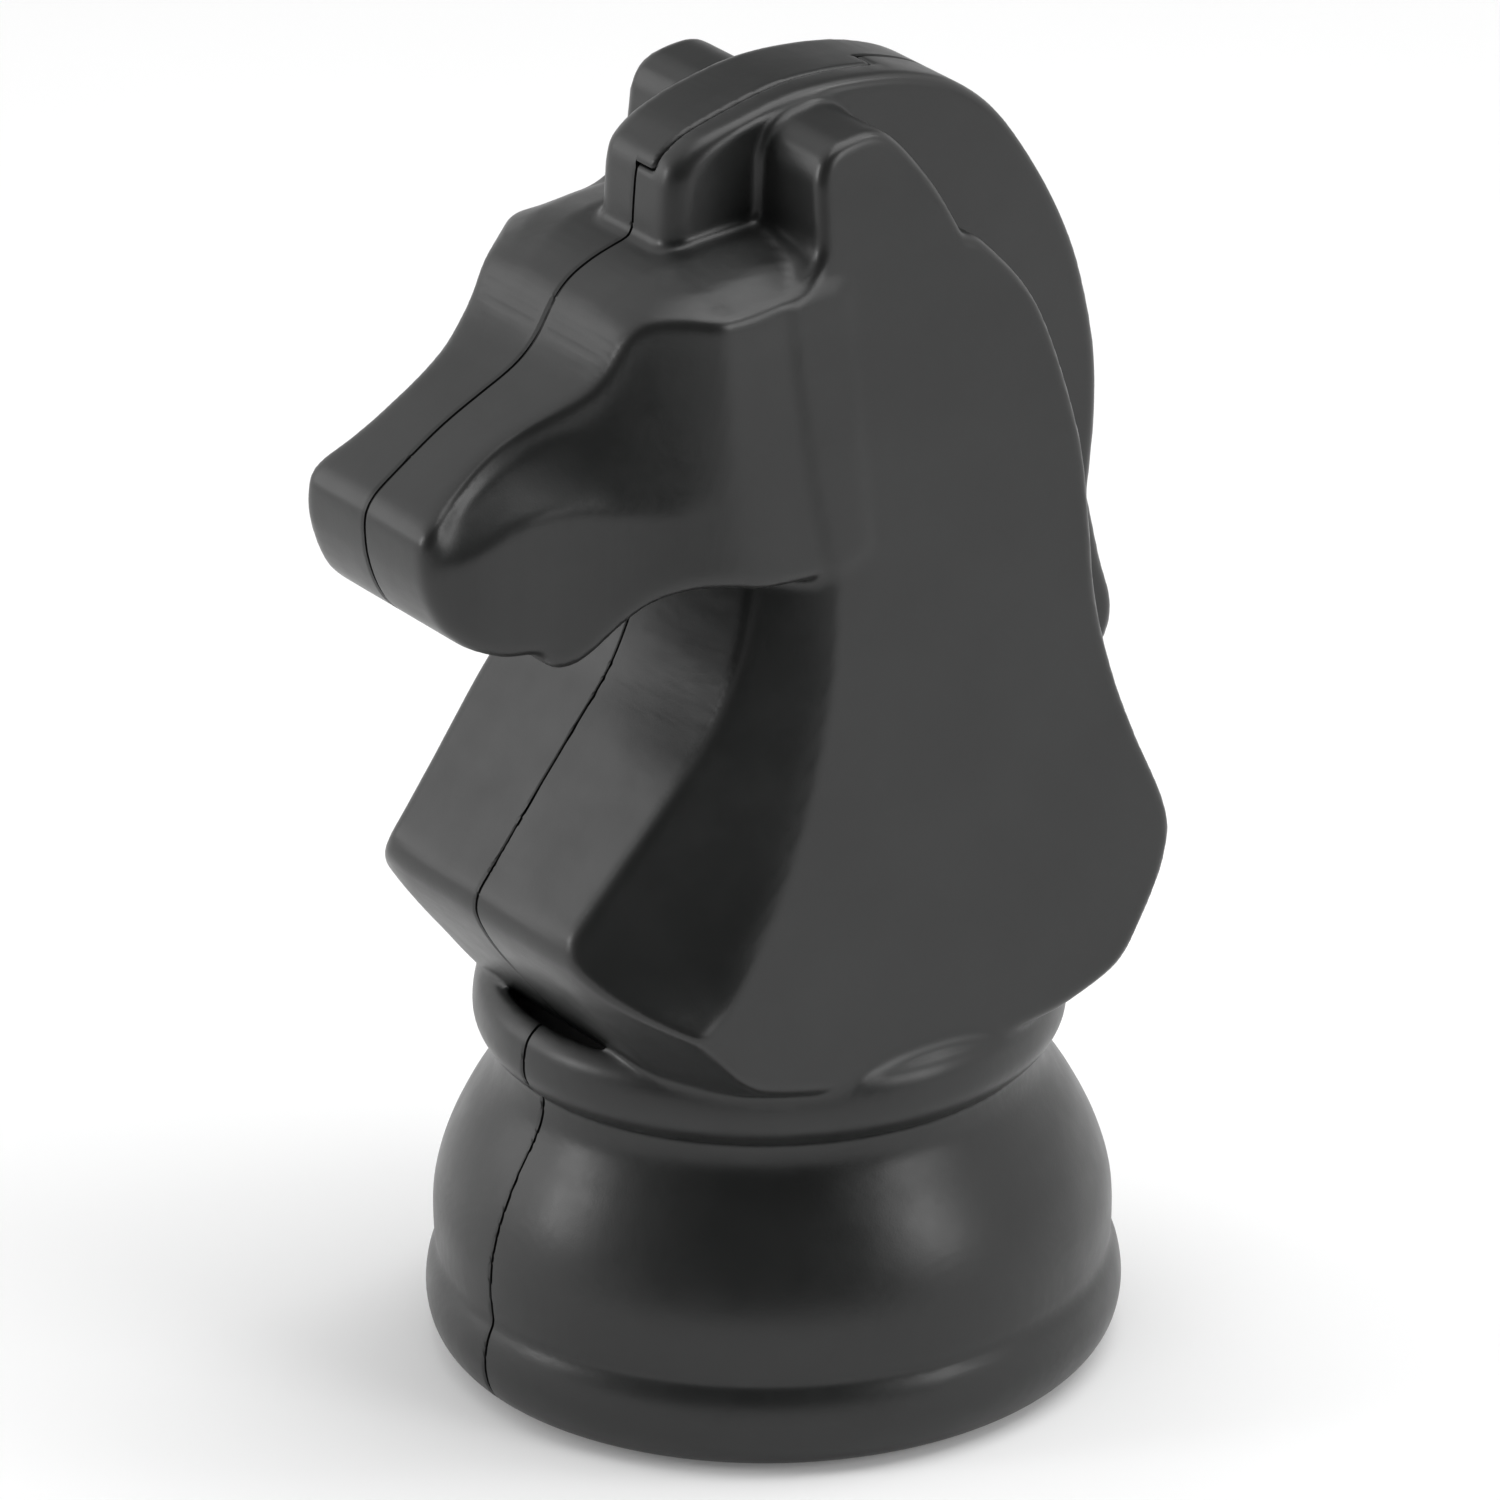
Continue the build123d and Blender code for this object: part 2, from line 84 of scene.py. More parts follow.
# Mane, a raised strip from the forelock over the crown to the lock on the nape.
MANE_HALF = 21.0
MANE_OUTLINE = [
    [(48.8, 388.0), (48.2, 402.0), (47.0, 415.0)],
    [(47.0, 415.0), (45.0, 421.8), (39.8, 426.6), (30.0, 430.8), (5.0, 436.8), (-12.0, 438.2),
     (-31.5, 436.8), (-48.0, 433.4), (-64.4, 426.3), (-80.6, 412.2), (-96.8, 387.7),
     (-108.2, 363.6), (-114.6, 341.0), (-118.0, 319.0), (-117.8, 298.0), (-114.8, 272.0)],
    [(-114.8, 272.0), (-119.8, 249.0), (-124.4, 230.0), (-119.0, 216.0), (-104.0, 205.0)],
    [(-104.0, 205.0), (-60.0, 205.0), (-10.0, 300.0), (20.0, 380.0)],
]

# Tongue of the right shell that laps over the crown of the mane, so that the parting line
# runs off the centre there, and the landing of the left shell below it.
TONGUE_REACH = 9.0
TONGUE_DEPTH = 4.0
TONGUE_OVER = 3.0
TONGUE_LOW = 419.0
TONGUE_BACK = -38.0
TONGUE_PLAY = 0.25
LANDING_HALF = 13.0
LANDING_LOW = 407.0
LANDING_BACK = -44.0

# Chest above and below its ridge: height, forward distance on the centre line, half-width of
# the front face, set-back of that face's edge, forward distance of the flank's edge.
CHEST_UPPER = [
    (120.0, 167.2, 52.0, 0.0, 148.8),
    (159.3, 134.8, 52.0, 0.0, 88.2),
    (167.3, 128.2, 52.0, 0.0, 75.9),
    (187.8, 111.2, 52.0, 0.0, 60.0),
    (204.0, 97.8, 53.7, 0.6, 49.5),
    (231.0, 75.6, 56.8, 1.4, 36.7),
    (250.0, 60.5, 57.0, 2.0, 30.2),
    (267.0, 51.7, 56.0, 3.0, 25.3),
    (296.0, 42.0, 50.0, 4.0, 21.3),
]
CHEST_LOWER = [
    (116.0, 66.0, 52.0, 0.0, 45.0),
    (134.0, 82.6, 52.0, 0.0, 63.0),
    (147.0, 92.8, 52.0, 0.0, 76.0),
    (157.0, 100.6, 52.0, 0.0, 86.0),
    (166.0, 107.0, 52.0, 0.0, 95.0),
    (173.0, 111.0, 52.0, 0.0, 101.5),
    (178.5, 113.2, 52.0, 0.0, 106.5),
    (187.0, 112.6, 52.0, 0.0, 112.0),
    (296.0, 118.0, 52.0, 0.0, 117.0),
]

# Head sections: forward distance, bridge height, how much lower its edge is, half-width of
# the bridge, height of its foot, then height and half-width of the shoulder and the jaw.
HEAD = [
    (5.0, 399.5, 12.0, 58.2, 372.0, 340.0, 63.9, 297.0, 69.2),
    (30.0, 398.4, 11.2, 58.7, 372.0, 340.0, 63.9, 297.0, 69.2),
    (46.0, 396.8, 11.2, 58.8, 372.0, 336.0, 64.0, 297.0, 68.6),
    (56.0, 394.4, 8.4, 57.5, 376.0, 332.0, 63.2, 297.0, 66.8),
    (66.0, 390.9, 4.6, 48.7, 380.0, 328.0, 60.0, 297.0, 63.2),
    (73.0, 387.0, 2.0, 43.0, 379.0, 326.0, 57.2, 297.0, 60.0),
    (79.0, 381.0, 1.0, 41.0, 371.0, 326.0, 54.8, 295.0, 56.8),
    (84.0, 372.2, 0.8, 39.6, 363.0, 327.0, 52.8, 292.0, 54.0),
    (90.0, 365.7, 0.7, 37.6, 356.0, 328.0, 50.6, 288.0, 51.0),
    (97.0, 361.2, 0.6, 34.2, 352.0, 330.0, 48.2, 284.0, 48.6),
    (104.0, 357.9, 0.5, 31.4, 349.5, 331.0, 46.2, 282.0, 46.8),
    (122.0, 349.0, 0.4, 28.4, 341.5, 329.0, 42.8, 284.0, 43.2),
    (135.0, 340.8, 0.4, 30.0, 334.6, 323.0, 40.4, 289.0, 40.4),
    (147.0, 332.8, 0.4, 33.8, 328.4, 318.0, 36.8, 300.0, 35.8),
    (160.0, 324.0, 0.4, 34.5, 320.5, 312.0, 34.5, 306.0, 33.2),
]
HEAD_OUTLINE = [
    [(5.0, 300.0), (5.0, 412.0)],
    [(5.0, 412.0), (60.0, 406.0)],
    [(60.0, 406.0), (84.0, 392.0)],
    [(84.0, 392.0), (135.0, 353.0)],
    [(135.0, 353.0), (147.0, 340.0), (150.4, 331.0), (151.2, 323.0), (150.7, 314.0), (149.2, 307.5),
     (147.2, 302.0), (143.6, 295.5), (137.2, 289.3)],
    [(137.2, 289.3), (126.0, 284.4), (116.0, 283.4), (112.5, 281.6)],
    [(112.5, 281.6), (109.5, 277.4), (103.0, 277.0), (96.0, 281.0), (85.0, 291.0), (77.0, 296.5),
     (66.0, 299.0), (54.0, 298.0), (46.0, 296.0), (21.0, 295.0), (5.0, 300.0)],
]

# How the rounded edge of the bridge falls away: share of its half-width, share of the drop.
BRIDGE_CURVE = [(0.45, 0.05), (0.77, 0.42)]
BRIDGE_FLARE = 0.8
JAW_TUCK = 2.0
JAW_DEPTH = 14.0

# Where the chest's block ends inside the collar, the throat and the neck.
CHEST_LOW = 126.0
CHEST_HIGH = 300.0
CHEST_BACK = -10.0

# Cone that trims the foot of the neck just above the collar.
SKIRT_R = 103.0
SKIRT_Z = 131.0
SKIRT_FLARE = 1.8

# Radii of the rounded edges, and of the fillets where the forms meet.
FLANK_ROUNDING = 3.0
CHEST_ROUNDING = 2.5
RIDGE_ROUNDING = 1.6
HEAD_ROUNDING = 4.5
SKIRT_ROUNDING = 4.0
MANE_ROUNDING = 3.5
FORELOCK_ROUNDING = 7.5
FORELOCK_BACK = 22.0
FORELOCK_BLEND = 20.0
HEAD_FILLET = 3.0
MANE_FILLET = 2.5
BASE_FILLET = 1.5

# Walls, the lips along the parting seam and the ledge for the base plate.
WALL = 4.0
LIP_DEPTH = 9.0
LIP_HALF = 5.0
SEAM_HALF = 0.6
SEAM_RECESS = 1.5
STRIP_SETBACK = 1.0
SEAM_SOFTEN = 0.45
RIM_DEPTH = 0.6
SUPPORT_LOOP = 0.9
MOUTH_R = 98.4
LEDGE_LOW = 6.5
LEDGE_HIGH = 12.5
LEDGE_BORE = 84.0

# Meshing: triangles kept in each shell, grid slices that hold the strip, cells of the field
# kept beside the surface, then how fast sharper bends count as edges polished by rubbing and lightened by
# a painted highlight.
SHELL_FACES = 185000
STRIP_SLICES = 17
BAND_CELLS = 3.0
WEAR_AND_HIGHLIGHT_GAIN = 3.2

# Camera: azimuth and elevation of its place round the origin and its distance in metres, then
# how far its aim lies from the origin and its roll, in radians.
CAMERA_AZIMUTH = math.radians(55.44)
CAMERA_ELEVATION = math.radians(27.136)
CAMERA_DISTANCE = 3.95791
CAMERA_AIM = (-0.00133, 0.04716)
CAMERA_ROLL = -0.01428
CAMERA_LENS = 288.0

# Softboxes, in metres and watts: name, place, where they point, width and height, power.
SOFTBOXES = [
    ("top_box", (0.2, 0.3, 2.2), (0, 0, 0.2), (1.6, 1.6), 18.0),
    ("left_box", (-1.9, -1.5, 0.95), (0, 0, 0.25), (1.1, 1.4), 6.5),
    ("front_box", (-1.0, -2.2, 1.0), (0, 0, 0.1), (0.5, 0.8), 10.0),
    ("right_box", (2.2, 0.9, 1.2), (0, 0, 0.15), (0.8, 1.2), 14.0),
    ("back_box", (0.85, 1.15, 1.95), (0, -0.1, 0.33), (0.5, 0.5), 5.0),
]

# Darker parts of the room: direction, the cosines where the fall begins and ends, and the
# levels there.
DARK_WALLS = [
    ((0.72, -0.55, 0.42), 0.30, 0.90, 1.02, 0.08),
    ((-0.66, 0.56, 0.50), 0.82, 0.98, 1.0, 0.2),
]
FLOOR_REACH = 12.0
FLOOR_DROP = 0.0004


def axis(low, high):
    """Places of the grid's slices along one direction."""
    return np.arange(low, high + VOXEL, VOXEL, dtype=np.float32)


# The grid reaches a few slices past the object, and past the symmetry plane.
XS = axis(-8.0 * VOXEL, 116.0 + 2.0 * VOXEL)
FS = axis(-130.0, 156.0)
ZS = axis(-4.0 * VOXEL, 440.0 + 3.0 * VOXEL)
ORIGIN = np.array([XS[0], FS[0], ZS[0]], dtype=np.float64)
X = np.abs(XS)[:, None, None]
F = FS[None, :, None]
Z = ZS[None, None, :]


def rounded_max(a, b, radius):
    """Both shapes at once, with the edge between them rounded."""
    past = np.hypot(np.maximum(a + radius, 0.0), np.maximum(b + radius, 0.0))
    return np.minimum(np.maximum(a, b), -radius) + past


def rounded_min(a, b, radius):
    """Either shape, with the corner between them filled by a fillet."""
    return -rounded_max(-a, -b, radius)


def bend(points, steps=10):
    """A smooth curve through the points, without its last point."""
    ends = [points[0], *points, points[-1]]
    curve = []
    for before, here, after, beyond in zip(ends, ends[1:], ends[2:], ends[3:]):
        for step in range(steps):
            t = step / steps
            weights = (
                -0.5 * t + t * t - 0.5 * t ** 3,
                1.0 - 2.5 * t * t + 1.5 * t ** 3,
                0.5 * t + 2.0 * t * t - 1.5 * t ** 3,
                -0.5 * t * t + 0.5 * t ** 3,
            )
            corners = (before, here, after, beyond)
            curve.append(tuple(sum(w * c[i] for w, c in zip(weights, corners)) for i in (0, 1)))
    return curve


def outline(pieces):
    """Corners of a closed outline whose pieces meet at creases."""
    return [point for piece in pieces for point in (piece[:-1] if len(piece) == 2 else bend(piece))]


def outline_distance(corners, u, v):
    """Signed distance from (u, v) to a closed outline, negative inside."""
    nearest = np.float32(1e9)
    inside = False
    for (u0, v0), (u1, v1) in zip(corners, corners[1:] + corners[:1]):
        du, dv = u1 - u0, v1 - v0
        along = np.clip(((u - u0) * du + (v - v0) * dv) / (du * du + dv * dv + 1e-9), 0.0, 1.0)
        nearest = np.minimum(nearest, (u - u0 - along * du) ** 2 + (v - v0 - along * dv) ** 2)
        rise = np.where(np.abs(dv) < 1e-9, 1e-9, dv)
        crosses = ((v0 > v) != (v1 > v)) & (u < u0 + (v - v0) * du / rise)
        inside = inside ^ crosses
    return (np.sqrt(nearest) * np.where(inside, -1.0, 1.0)).astype(np.float32)


def table(rows, at):
    """The rows' columns, smoothly interpolated over their first one."""
    rows = np.array(rows)
    place, columns = rows[:, 0], rows[:, 1:]
    slopes = np.gradient(columns, place, axis=0)
    at = np.clip(at, place[0], place[-1])
    low = np.clip(np.searchsorted(place, at, side="right") - 1, 0, len(place) - 2)
    width = (place[low + 1] - place[low])[:, None]
    t = (at[:, None] - place[low][:, None]) / width
    start, end = columns[low], columns[low + 1]
    value = (2 * t ** 3 - 3 * t ** 2 + 1) * start + (3 * t ** 2 - 2 * t ** 3) * end
    value += (t ** 3 - 2 * t ** 2 + t) * width * slopes[low]
    value += (t ** 3 - t ** 2) * width * slopes[low + 1]
    return value.T.astype(np.float32)


def soften(field, passes):
    """The field after small blurs along all three directions."""
    for _ in range(passes):
        for direction in range(3):
            padded = np.pad(field, [(int(i == direction),) * 2 for i in range(3)], mode="edge")
            low = np.take(padded, np.arange(field.shape[direction]), axis=direction)
            high = np.take(padded, np.arange(2, field.shape[direction] + 2), axis=direction)
            field = 0.25 * (low + high) + 0.5 * field
    return field


def flank_side():
    """Signed distance to the sloping plane of a flank."""
    half = PLATE_HALF - (Z - PLATE_Z) * PLATE_TAPER
    return (X - half) / math.hypot(1.0, PLATE_TAPER)


def neck():
    """The slab between the flanks, with the cheeks and both ears."""
    side_view = outline_distance(outline(FLANK_OUTLINE), F, Z)
    return rounded_max(side_view, flank_side(), FLANK_ROUNDING)


def chest_faces(levels):
    """The front face and the slanting facet beside it, for one set of levels."""
    centre, half, set_back, edge = table(levels, ZS)
    side = PLATE_HALF - (ZS - PLATE_Z) * PLATE_TAPER
    front = (F - centre + set_back * X / half) / np.hypot(1.0, np.gradient(centre, ZS))
    run_x, run_f = side - half, edge - centre + set_back
    length = np.hypot(run_x, run_f)
    normal_x, normal_f = -run_f / length, run_x / length
    level_slope = np.gradient(half, ZS) * normal_x + np.gradient(centre - set_back, ZS) * normal_f
    facet = (X - half) * normal_x + (F - centre + set_back) * normal_f
    return rounded_max(front, facet / np.hypot(1.0, level_slope), CHEST_ROUNDING)


def chest():
    """The chest between the flanks' front edges, from the collar up to the throat."""
    prow = rounded_max(chest_faces(CHEST_UPPER), chest_faces(CHEST_LOWER), RIDGE_ROUNDING)
    block = rounded_max(prow, flank_side(), CHEST_ROUNDING)
    ends = np.maximum(Z - CHEST_HIGH, np.maximum(CHEST_LOW - Z, CHEST_BACK - F))
    return np.maximum(block, ends)


def head():
    """Forehead, bridge and muzzle, from between the ears to the nose."""
    columns = table(HEAD, FS)[:, None, :, None]
    bridge, drop, bridge_half, foot, shoulder, shoulder_half, jaw, jaw_half = columns
    far_side = np.full_like(bridge, -60.0)
    corners = [
        (far_side, bridge),
        *[(share * bridge_half, bridge - fall * drop) for share, fall in BRIDGE_CURVE],
        (bridge_half, bridge - drop),
        (bridge_half + BRIDGE_FLARE, foot),
        (shoulder_half, shoulder),
        (jaw_half, jaw),
        (jaw_half - JAW_TUCK, jaw - JAW_DEPTH),
        (far_side, jaw - JAW_DEPTH),
    ]
    section = outline_distance(corners, X, Z)
    side_view = outline_distance(outline(HEAD_OUTLINE), F, Z)
    return soften(rounded_max(section, side_view, HEAD_ROUNDING), 2)


def mane():
    """The raised strip from the forelock over the crown and down the nape."""
    forelock = np.clip((F - FORELOCK_BACK) / FORELOCK_BLEND, 0.0, 1.0)
    rounding = MANE_ROUNDING + (FORELOCK_ROUNDING - MANE_ROUNDING) * forelock
    return rounded_max(outline_distance(outline(MANE_OUTLINE), F, Z), X - MANE_HALF, rounding)


def base():
    """The round base with its flange, bulge and collar."""
    reach = np.arange(0.0, BASE_REACH, BASE_STEP, dtype=np.float32)
    section = outline_distance(outline(BASE_OUTLINE), reach[:, None], ZS[None, :])
    radius = np.hypot(X, F)[:, :, 0] / BASE_STEP
    low = radius.astype(int)
    share = (radius - low)[:, :, None].astype(np.float32)
    return section[low] * (1.0 - share) + section[low + 1] * share


def figure():
    """The closed outer form of the knight."""
    skirt_r = SKIRT_R + SKIRT_FLARE * (Z - SKIRT_Z)
    skirt = (np.hypot(X, F) - skirt_r) / math.hypot(1.0, SKIRT_FLARE)
    upper = rounded_max(np.minimum(neck(), chest()), skirt, SKIRT_ROUNDING)
    upper = rounded_min(upper, head(), HEAD_FILLET)
    upper = rounded_min(upper, mane(), MANE_FILLET)
    return soften(rounded_min(upper, base(), BASE_FILLET), 1)


def shell(outer):
    """The moulded wall with its seam lips, the ledge and the opening for the base plate."""
    radius = np.hypot(X, F)
    lip_half = np.where((Z > LANDING_LOW) & (F > LANDING_BACK), LANDING_HALF, LIP_HALF)
    cavity = np.maximum(outer + WALL, np.minimum(lip_half - X, outer + LIP_DEPTH))
    cavity = np.maximum(cavity, LEDGE_HIGH - Z)
    mouth = np.maximum(radius - MOUTH_R, Z - LEDGE_LOW)
    bore = np.maximum(radius - LEDGE_BORE, Z - LEDGE_HIGH - VOXEL)
    return np.maximum(outer, -np.minimum(np.minimum(cavity, mouth), bore))


def seam_strip(outer):
    """The rubber strip clamped between the lips of the two halves."""
    foot = np.maximum(np.hypot(X, F) - MOUTH_R, Z - LEDGE_LOW)
    return np.maximum(np.maximum(outer + SEAM_RECESS, STRIP_SETBACK - LIP_DEPTH - outer), -foot)


def tongue_space(outer, play):
    """The skin of the crown that the right shell's tongue takes up."""
    skin = np.maximum(outer - TONGUE_OVER, -outer - TONGUE_DEPTH - play)
    ends = np.maximum(TONGUE_LOW - play - Z, TONGUE_BACK - play - F)
    return np.maximum(np.maximum(skin, ends), XS[:, None, None] - TONGUE_REACH - play)


def sample(field, places):
    """Values of the field at places given in grid steps, by trilinear interpolation."""
    low = np.clip(np.floor(places).astype(int), 0, np.array(field.shape) - 2)
    share = places - low
    total = np.zeros(len(places))
    for corner in np.ndindex(2, 2, 2):
        weight = np.prod(np.where(corner, share, 1.0 - share), axis=1)
        total += weight * field[tuple((low + corner).T)]
    return total


def surface(field):
    """Points in grid steps, and faces, of the field's zero surface."""
    limit = BAND_CELLS * VOXEL
    grid = openvdb.FloatGrid(limit)
    grid.copyFromArray(np.clip(field, -limit, limit).astype(np.float32))
    points, triangles, quads = grid.convertToPolygons(isovalue=0.0, adaptivity=0.0)
    return points.astype(np.float64), triangles.tolist() + quads.tolist()


def slopes(field):
    """The field's rate of change along its three directions."""
    return np.gradient(field, VOXEL)


def sample_all(fields, places):
    """Several fields at the same places, one column each."""
    return np.stack([sample(field, places) for field in fields], axis=1)


def settle(places, field, gradient):
    """Moves the points onto the true surface."""
    for _ in range(2):
        step = sample_all(gradient, places)
        size = np.maximum((step ** 2).sum(axis=1), 0.2)
        move = sample(field, places) / size / VOXEL
        places = places - np.clip(move, -0.5, 0.5)[:, None] * step
    return places


def thin_out(mesh, faces_kept):
    """The mesh with about that many triangles left, most of them where it curves."""
    ratio = faces_kept / (2.0 * len(mesh.polygons))
    if ratio >= 1.0:
        return mesh
    holder = bpy.data.objects.new("work", mesh)
    bpy.context.scene.collection.objects.link(holder)
    holder.modifiers.new("thin", "DECIMATE").ratio = ratio
    evaluated = holder.evaluated_get(bpy.context.evaluated_depsgraph_get())
    thinned = bpy.data.meshes.new_from_object(evaluated)
    bpy.data.objects.remove(holder)
    return thinned


def sculpt(field, gradient, faces_kept):
    """A work mesh of the field's surface, in millimetres on the field's own axes."""
    places, faces = surface(field)
    places = settle(places, field, gradient)
    mesh = bpy.data.meshes.new("work")
    mesh.from_pydata((places * VOXEL + ORIGIN).tolist(), [], faces)
    bm = bmesh.new()
    bm.from_mesh(thin_out(mesh, faces_kept))
    return bm


def cut(bm, at, drop=None):
    """Cuts the mesh on a plane of constant x; drop names the side that is thrown away."""
    made = bmesh.ops.bisect_plane(
        bm, geom=bm.verts[:] + bm.edges[:] + bm.faces[:], dist=1e-4,
        plane_co=(at, 0, 0), plane_no=(1, 0, 0),
        clear_inner=drop == "below", clear_outer=drop == "above",
    )
    return [item for item in made["geom_cut"] if isinstance(item, bmesh.types.BMEdge)]


def close_cut(bm, edges, facing):
    """Fills the outline left by a cut; facing is the way its face looks along x."""
    bmesh.ops.triangle_fill(bm, use_beauty=True, use_dissolve=False, edges=edges, normal=(facing, 0, 0))
    bmesh.ops.recalc_face_normals(bm, faces=bm.faces)


def soften_rim(edges, gradient, outer, lapped):
    """Draws the visible rim of a cut slightly inwards, as the moulded edge is rounded."""
    rim = list({vert for edge in edges for vert in edge.verts})
    places = (np.array([vert.co for vert in rim]) - ORIGIN) / VOXEL
    outward = sample_all(gradient, places)
    depth = sample(outer, places)
    for vert, normal, below in zip(rim, outward, depth):
        under_tongue = lapped and vert.co.z > TONGUE_LOW and vert.co.y > TONGUE_BACK
        if below > -RIM_DEPTH and not under_tongue:
            vert.co -= Vector((0.0, normal[1], normal[2])) * SEAM_SOFTEN


def shell_half(name, wall, outer, mirror):
    """One moulded half, cut clean along the parting seam."""
    gradient = slopes(wall)
    bm = sculpt(wall, gradient, SHELL_FACES)
    cut(bm, SEAM_HALF + SUPPORT_LOOP)
    edges = cut(bm, SEAM_HALF, "below")
    soften_rim(edges, gradient, outer, mirror)
    close_cut(bm, edges, -1)
    return finish_mesh(name, bm, gradient, outer, (SEAM_HALF,), mirror)


def tongue(outer):
    """The lap of the right shell over the crown."""
    field = np.maximum(outer, tongue_space(outer, 0.0))
    gradient = slopes(field)
    bm = sculpt(field, gradient, SHELL_FACES)
    close_cut(bm, cut(bm, -SEAM_HALF, "below"), -1)
    return finish_mesh("right_shell_tongue", bm, gradient, outer, (-SEAM_HALF,), False)


def strip(outer):
    """The rubber strip in the parting seam."""
    near = slice(0, STRIP_SLICES)
    field = np.maximum(seam_strip(outer), -tongue_space(outer, TONGUE_PLAY))[near]
    gradient = slopes(field)
    bm = sculpt(field, gradient, SHELL_FACES)
    close_cut(bm, cut(bm, -SEAM_HALF, "below"), -1)
    close_cut(bm, cut(bm, SEAM_HALF, "above"), 1)
    return finish_mesh("seam_strip", bm, gradient, outer[near], (-SEAM_HALF, SEAM_HALF), False)


def on_cut(face, cuts):
    """Whether a face lies flat on one of the cuts."""
    return any(all(abs(vert.co.x - at) < 1e-3 for vert in face.verts) for at in cuts)


def finish_mesh(name, bm, gradient, outer, cuts, mirror):
    """Turns the work mesh into an object in the row frame, with normals from the field."""
    bm.normal_update()
    flat = np.array([on_cut(face, cuts) for face in bm.faces])
    facing = np.array([face.normal.x for face in bm.faces])
    mesh = bpy.data.meshes.new(name)
    bm.to_mesh(mesh)
    bm.free()
    points = np.zeros(len(mesh.vertices) * 3)
    mesh.vertices.foreach_get("co", points)
    points = points.reshape(-1, 3)
    places = (points - ORIGIN) / VOXEL
    normals = sample_all(gradient, places)
    normals /= np.maximum(np.linalg.norm(normals, axis=1, keepdims=True), 1e-6)
    side = -1.0 if mirror else 1.0
    turn = np.array([side, -1.0, 1.0])
    mesh.vertices.foreach_set("co", (points * turn * MM).ravel())
    if not mirror:
        mesh.flip_normals()
    # Per-point mask of rounded edges, for polish and for a painted highlight in the material.
    wear_and_painted_highlight = mesh.attributes.new("edge_wear_and_painted_highlight", "FLOAT", "POINT")
    wear_and_painted_highlight.data.foreach_set("value", edge_wear_and_painted_highlight(outer, places))
    mesh.shade_smooth()
    corner_vertex = np.zeros(len(mesh.loops), dtype=np.int32)
    mesh.loops.foreach_get("vertex_index", corner_vertex)
    totals = np.zeros(len(mesh.polygons), dtype=np.int32)
    mesh.polygons.foreach_get("loop_total", totals)
    face_of = np.repeat(np.arange(len(totals)), totals)
    corners = (normals * turn)[corner_vertex]
    planar = flat[face_of]
    corners[planar] = 0.0
    corners[planar, 0] = np.sign(facing[face_of][planar]) * side
    mesh.normals_split_custom_set(corners.tolist())
    obj = bpy.data.objects.new(name, mesh)
    bpy.context.scene.collection.objects.link(obj)
    return obj


def edge_wear_and_painted_highlight(outer, places):
    """How sharply the outer form is rounded at each place, from 0 on flats to 1 on edges, where rubbing
    polishes the plastic and a painted highlight lightens it.
    """
    bend_of = sum(np.gradient(part, VOXEL, axis=i) for i, part in enumerate(slopes(outer)))
    return np.clip(sample(bend_of, places) * WEAR_AND_HIGHLIGHT_GAIN, 0.0, 1.0).astype(np.float32)


def node_tree(name, base, roughness):
    """A new material with its Principled shader."""
    material = bpy.data.materials.new(name)
    material.use_nodes = True
    shader = material.node_tree.nodes["Principled BSDF"]
    shader.inputs["Base Color"].default_value = (*base, 1.0)
    shader.inputs["Roughness"].default_value = roughness
    return material, material.node_tree, shader


def noise(tree, scale, detail, roughness=0.5):
    """Noise fixed to the object, with scale in cells per metre."""
    place = tree.nodes.new("ShaderNodeTexCoord")
    node = tree.nodes.new("ShaderNodeTexNoise")
    node.inputs["Scale"].default_value = scale
    node.inputs["Detail"].default_value = detail
    node.inputs["Roughness"].default_value = roughness
    tree.links.new(place.outputs["Object"], node.inputs["Vector"])
    return node.outputs["Fac"]


def spread(tree, source, low, high, out_low, out_high):
    """The source mapped from one range to another."""
    node = tree.nodes.new("ShaderNodeMapRange")
    for socket, value in zip(("From Min", "From Max", "To Min", "To Max"), (low, high, out_low, out_high)):
        node.inputs[socket].default_value = value
    tree.links.new(source, node.inputs["Value"])
    return node.outputs["Result"]


def mix_colour(tree, share, first, second):
    """Two colours, or colour sockets, mixed by the share."""
    node = tree.nodes.new("ShaderNodeMix")
    node.data_type = "RGBA"
    tree.links.new(share, node.inputs["Factor"])
    for socket, colour in ((node.inputs[6], first), (node.inputs[7], second)):
        if isinstance(colour, tuple):
            socket.default_value = (*colour, 1.0)
        else:
            tree.links.new(colour, socket)
    return node.outputs[2]


def bump(tree, height, strength, depth, under=None):
    """A normal shaped by the height, on top of another normal if there is one."""
    node = tree.nodes.new("ShaderNodeBump")
    node.inputs["Strength"].default_value = strength
    node.inputs["Distance"].default_value = depth
    tree.links.new(height, node.inputs["Height"])
    if under is not None:
        tree.links.new(under, node.inputs["Normal"])
    return node.outputs["Normal"]


